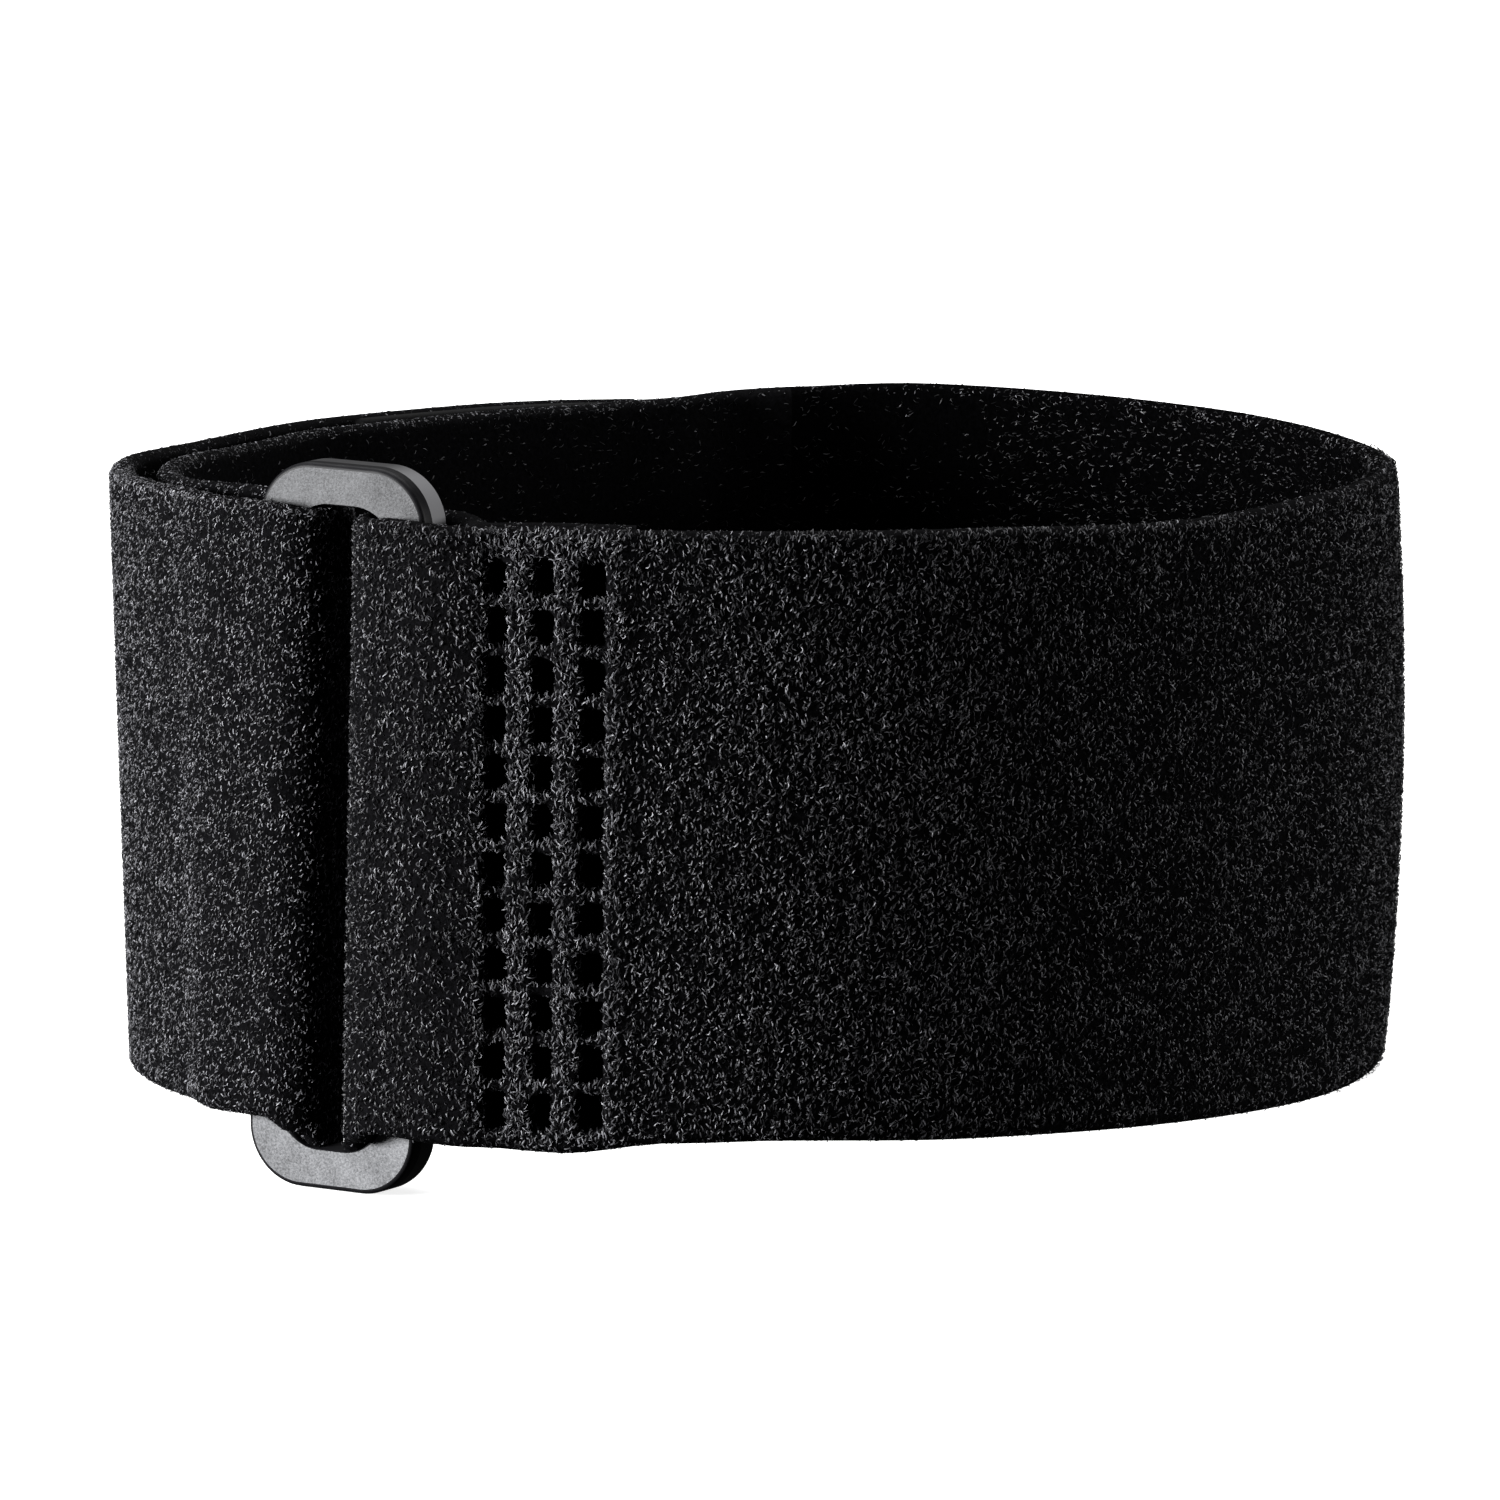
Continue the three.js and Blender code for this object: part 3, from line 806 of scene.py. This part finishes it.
def grainedMaterial(name, finish):
    material, tree, shader = newMaterial(name)
    grain = noiseNode(tree, *finish["grain"]).outputs["Fac"]
    colour = rampNode(tree, grain, finish["colours"])
    tree.links.new(colour.outputs["Color"], shader.inputs["Base Color"])
    setGloss(shader, finish)
    if "bump" in finish:
        bump = bumpNode(tree, grain, *finish["bump"])
        tree.links.new(bump.outputs["Normal"], shader.inputs["Normal"])
    return material


def tonedMaterial(name, finish):
    # its colour follows the tone painted on the points
    material, tree, shader = newMaterial(name)
    colour = rampNode(tree, toneColour(tree), finish["colours"])
    tree.links.new(colour.outputs["Color"], shader.inputs["Base Color"])
    setGloss(shader, finish)
    return material


def plasticMaterial(name, finish):
    material, tree, shader = newMaterial(name)
    grain = noiseNode(tree, *finish["grain"])
    cloud = noiseNode(tree, *finish["cloud"])
    both = tree.nodes.new("ShaderNodeMix")
    both.inputs["Factor"].default_value = finish["cloudShare"]
    tree.links.new(grain.outputs["Fac"], both.inputs["A"])
    tree.links.new(cloud.outputs["Fac"], both.inputs["B"])
    colour = rampNode(tree, both.outputs["Result"], finish["colours"])
    # the tone on the points multiplies in the painted shade of the front face
    shaded = tree.nodes.new("ShaderNodeVectorMath")
    shaded.operation = "MULTIPLY"
    tree.links.new(colour.outputs["Color"], shaded.inputs[0])
    tree.links.new(toneColour(tree), shaded.inputs[1])
    tree.links.new(shaded.outputs["Vector"], shader.inputs["Base Color"])
    setGloss(shader, finish)
    bump = bumpNode(tree, grain.outputs["Fac"], *finish["bump"])
    tree.links.new(bump.outputs["Normal"], shader.inputs["Normal"])
    return material


# grain and cloud are a noise's scale, detail and roughness, bump its strength and height in metres
finishes = {
    "cloth": {  # the knit under the pile: nearly black, with a felted grain
        "grain": (2600, 6, 0.7),
        "colours": [(0.4, (0.0008, 0.0008, 0.00096)), (0.7, (0.004, 0.004, 0.0048))],
        "roughness": 0.9,
        "gloss": 0.03,
        "bump": (0.8, 0.0002),
    },
    "paintedShadeCloth": {  # the same on the inside's right and back, with painted shade: these faces get lamp light but are painted darker
        "grain": (2600, 6, 0.7),
        "colours": [(0.4, (0.0003, 0.0003, 0.00036)), (0.7, (0.0014, 0.0014, 0.00168))],
        "roughness": 0.9,
        "gloss": 0.01,
        "bump": (0.8, 0.0002),
    },
    "fibre": {
        "colours": [(0.0, (0.001, 0.001, 0.0012)), (1.0, (0.19, 0.19, 0.205))],
        "roughness": 0.4,
        "gloss": 0.16,
    },
    "plastic": {
        "grain": (5200, 3, 0.75),
        "cloud": (320, 3, 0.5),
        "cloudShare": 0.3,
        "colours": [(0.36, (0.053, 0.054, 0.057)), (0.64, (0.205, 0.208, 0.218))],
        "roughness": 0.55,
        "gloss": 0.2,
        "bump": (0.5, 0.0001),
    },
    # painted shade: a nearly black copy of the ring's plastic for the front chamfer, the strip
    # beside it and the slot's walls
    "paintedShadeWall": {
        "grain": (1500, 3, 0.6),
        "colours": [(0.3, (0.003, 0.003, 0.004)), (0.8, (0.008, 0.008, 0.009))],
        "roughness": 0.5,
        "gloss": 0.12,
    },
    # painted light and shade: the ring's rear wall, pale where the tone on the points is high and
    # dark where it is low
    "rim": {
        "colours": [(0.0, (0.006, 0.006, 0.007)), (1.0, (0.2, 0.2, 0.208))],
        "roughness": 0.5,
        "gloss": 0.3,
    },
    "tape": {
        "grain": (3000, 4, 0.7),
        "colours": [(0.35, (0.001, 0.001, 0.001)), (0.75, (0.006, 0.006, 0.007))],
        "roughness": 0.7,
        "gloss": 0.1,
        "bump": (0.6, 0.0001),
    },
}

strap.data.materials.append(grainedMaterial("blackLoopCloth", finishes["cloth"]))
strap.data.materials.append(grainedMaterial("paintedShadeInnerCloth", finishes["paintedShadeCloth"]))
# painted shade: the inside faces of the main run, up to the set place, get the darker cloth
facesAround = 2 * len(across) - 2
innerFaces = np.zeros(len(strap.data.polygons), int)
paintedShadeRun = inMainRun & (alongs < pile["paintedShadeInside"])
innerFaces[: (len(places) - 1) * facesAround] = (
    paintedShadeRun[:-1, None] & (np.arange(facesAround) >= len(across) - 1)
).ravel()
strap.data.polygons.foreach_set("material_index", innerFaces)
fibre = tonedMaterial("blackPileFibre", finishes["fibre"])
for piece in piles:
    piece.data.materials.append(fibre)
slotRing.data.materials.append(plasticMaterial("greyRingPlastic", finishes["plastic"]))
slotRing.data.materials.append(grainedMaterial("paintedShadeRingWall", finishes["paintedShadeWall"]))
slotRing.data.materials.append(tonedMaterial("ringRimPaintedLightShade", finishes["rim"]))
hookTab.data.materials.append(grainedMaterial("blackHookTape", finishes["tape"]))
print("materials set")


# From the band's own frame to where the model rests

leanAxis = Vector((-outY, outX, 0))
turn = Matrix.Rotation(-math.radians(loop["restLean"]), 4, leanAxis)


def boxOf(piece, matrix):
    points = np.empty(3 * len(piece.data.vertices))
    piece.data.vertices.foreach_get("co", points)
    turned = points.reshape(-1, 3) @ np.array(matrix.to_3x3()).T
    return turned.min(axis=0), turned.max(axis=0)


low, high = boxOf(slotRing, turn)
ringLow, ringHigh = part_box("slot_ring")
shift = Vector([(a + b - c - d) / 2 for a, b, c, d in zip(ringLow, ringHigh, low, high)])
rest = Matrix.Translation(shift) @ turn
lowestFibre = 0.00002  # metres above the floor
for piece in [strap, slotRing, hookTab, *piles]:
    piece.data.transform(rest)
for piece in piles:
    points = np.empty(3 * len(piece.data.vertices))
    piece.data.vertices.foreach_get("co", points)
    points = points.reshape(-1, 3)
    points[:, 2] = np.maximum(points[:, 2], lowestFibre)
    piece.data.vertices.foreach_set("co", points.ravel())
print("rest shift", [round(v * 1000, 3) for v in shift])

for piece in [strap, *piles]:
    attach(piece, "root")
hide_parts("strap")
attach(slotRing, "root")
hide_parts("slot_ring")
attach(hookTab, "root")
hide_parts("hook_tab")


# Floor, light and camera

studio = {
    "floorSize": 6,
    "floorColour": (0.86, 0.86, 0.86),
    "floorGlow": 0.85,  # keeps the floor's shadows light
    "worldStrength": 0.02,
    # name, place, what it points at and size in metres, watts
    "lights": [
        ("keyLight", (-0.5, -0.18, 0.12), (0, 0, 0.03), 0.14, 8.8),
        ("rimLight", (0.6, -0.05, 0.12), (0, 0, 0.03), 0.16, 2),
        ("topLight", (0, 0.65, 1.5), (0, 0.65, 0), 1.6, 36),
    ],
}

floorMesh = bpy.data.meshes.new("floor")
reach = studio["floorSize"] / 2
floorCorners = [(-reach, -reach, 0), (reach, -reach, 0), (reach, reach, 0), (-reach, reach, 0)]
floorMesh.from_pydata(floorCorners, [], [(0, 1, 2, 3)])
floor = bpy.data.objects.new("floor", floorMesh)
bpy.context.scene.collection.objects.link(floor)
floorMaterial, _, floorShader = newMaterial("paleFloor")
floorShader.inputs["Base Color"].default_value = (*studio["floorColour"], 1)
floorShader.inputs["Roughness"].default_value = 0.8
floorShader.inputs["Emission Color"].default_value = (1, 1, 1, 1)
floorShader.inputs["Emission Strength"].default_value = studio["floorGlow"]
floor.data.materials.append(floorMaterial)
floor.visible_diffuse = False  # the strap gets no light from it, as in the photograph's dark studio
floor.visible_glossy = False

for name, place, aim, size, watts in studio["lights"]:
    light = bpy.data.lights.new(name, "AREA")
    light.size = size
    light.energy = watts
    lamp = bpy.data.objects.new(name, light)
    lamp.location = place
    lamp.rotation_euler = (Vector(aim) - Vector(place)).to_track_quat("-Z", "Y").to_euler()
    bpy.context.scene.collection.objects.link(lamp)

world = bpy.data.worlds.new("studio")
world.use_nodes = True
backdrop = world.node_tree.nodes["Background"]
backdrop.inputs["Color"].default_value = (1, 1, 1, 1)
backdrop.inputs["Strength"].default_value = studio["worldStrength"]
bpy.context.scene.world = world
bpy.context.scene.view_settings.view_transform = "Standard"

view = {
    "distance": 1200,  # millimetres, from the middle of the loop
    "raised": 9.0,  # degrees above the loop's own level
    "rolled": 0.62,  # the photograph shows it turned clockwise by this
    "lens": 344.9,
    "aim": (-0.78, -0.22, 0.35),
}


def placeCamera():
    raised = math.radians(view["raised"])
    rolled = math.radians(view["rolled"])
    backwards = Vector((0, -math.cos(raised), math.sin(raised)))
    upwards = Vector((0, math.sin(raised), math.cos(raised)))
    across = Vector((1, 0, 0))
    sideAxis = across * math.cos(rolled) + upwards * math.sin(rolled)
    upAxis = upwards * math.cos(rolled) - across * math.sin(rolled)
    place = (Vector(view["aim"]) + backwards * view["distance"]) * mm
    local = Matrix((sideAxis, upAxis, backwards)).transposed().to_4x4()
    local.translation = place
    data = bpy.data.cameras.new("camera")
    data.lens = view["lens"]
    data.sensor_width = 36
    data.clip_end = 20
    camera = bpy.data.objects.new("camera", data)
    camera.matrix_world = rest @ local
    bpy.context.scene.collection.objects.link(camera)
    bpy.context.scene.camera = camera


placeCamera()
print("studio set")
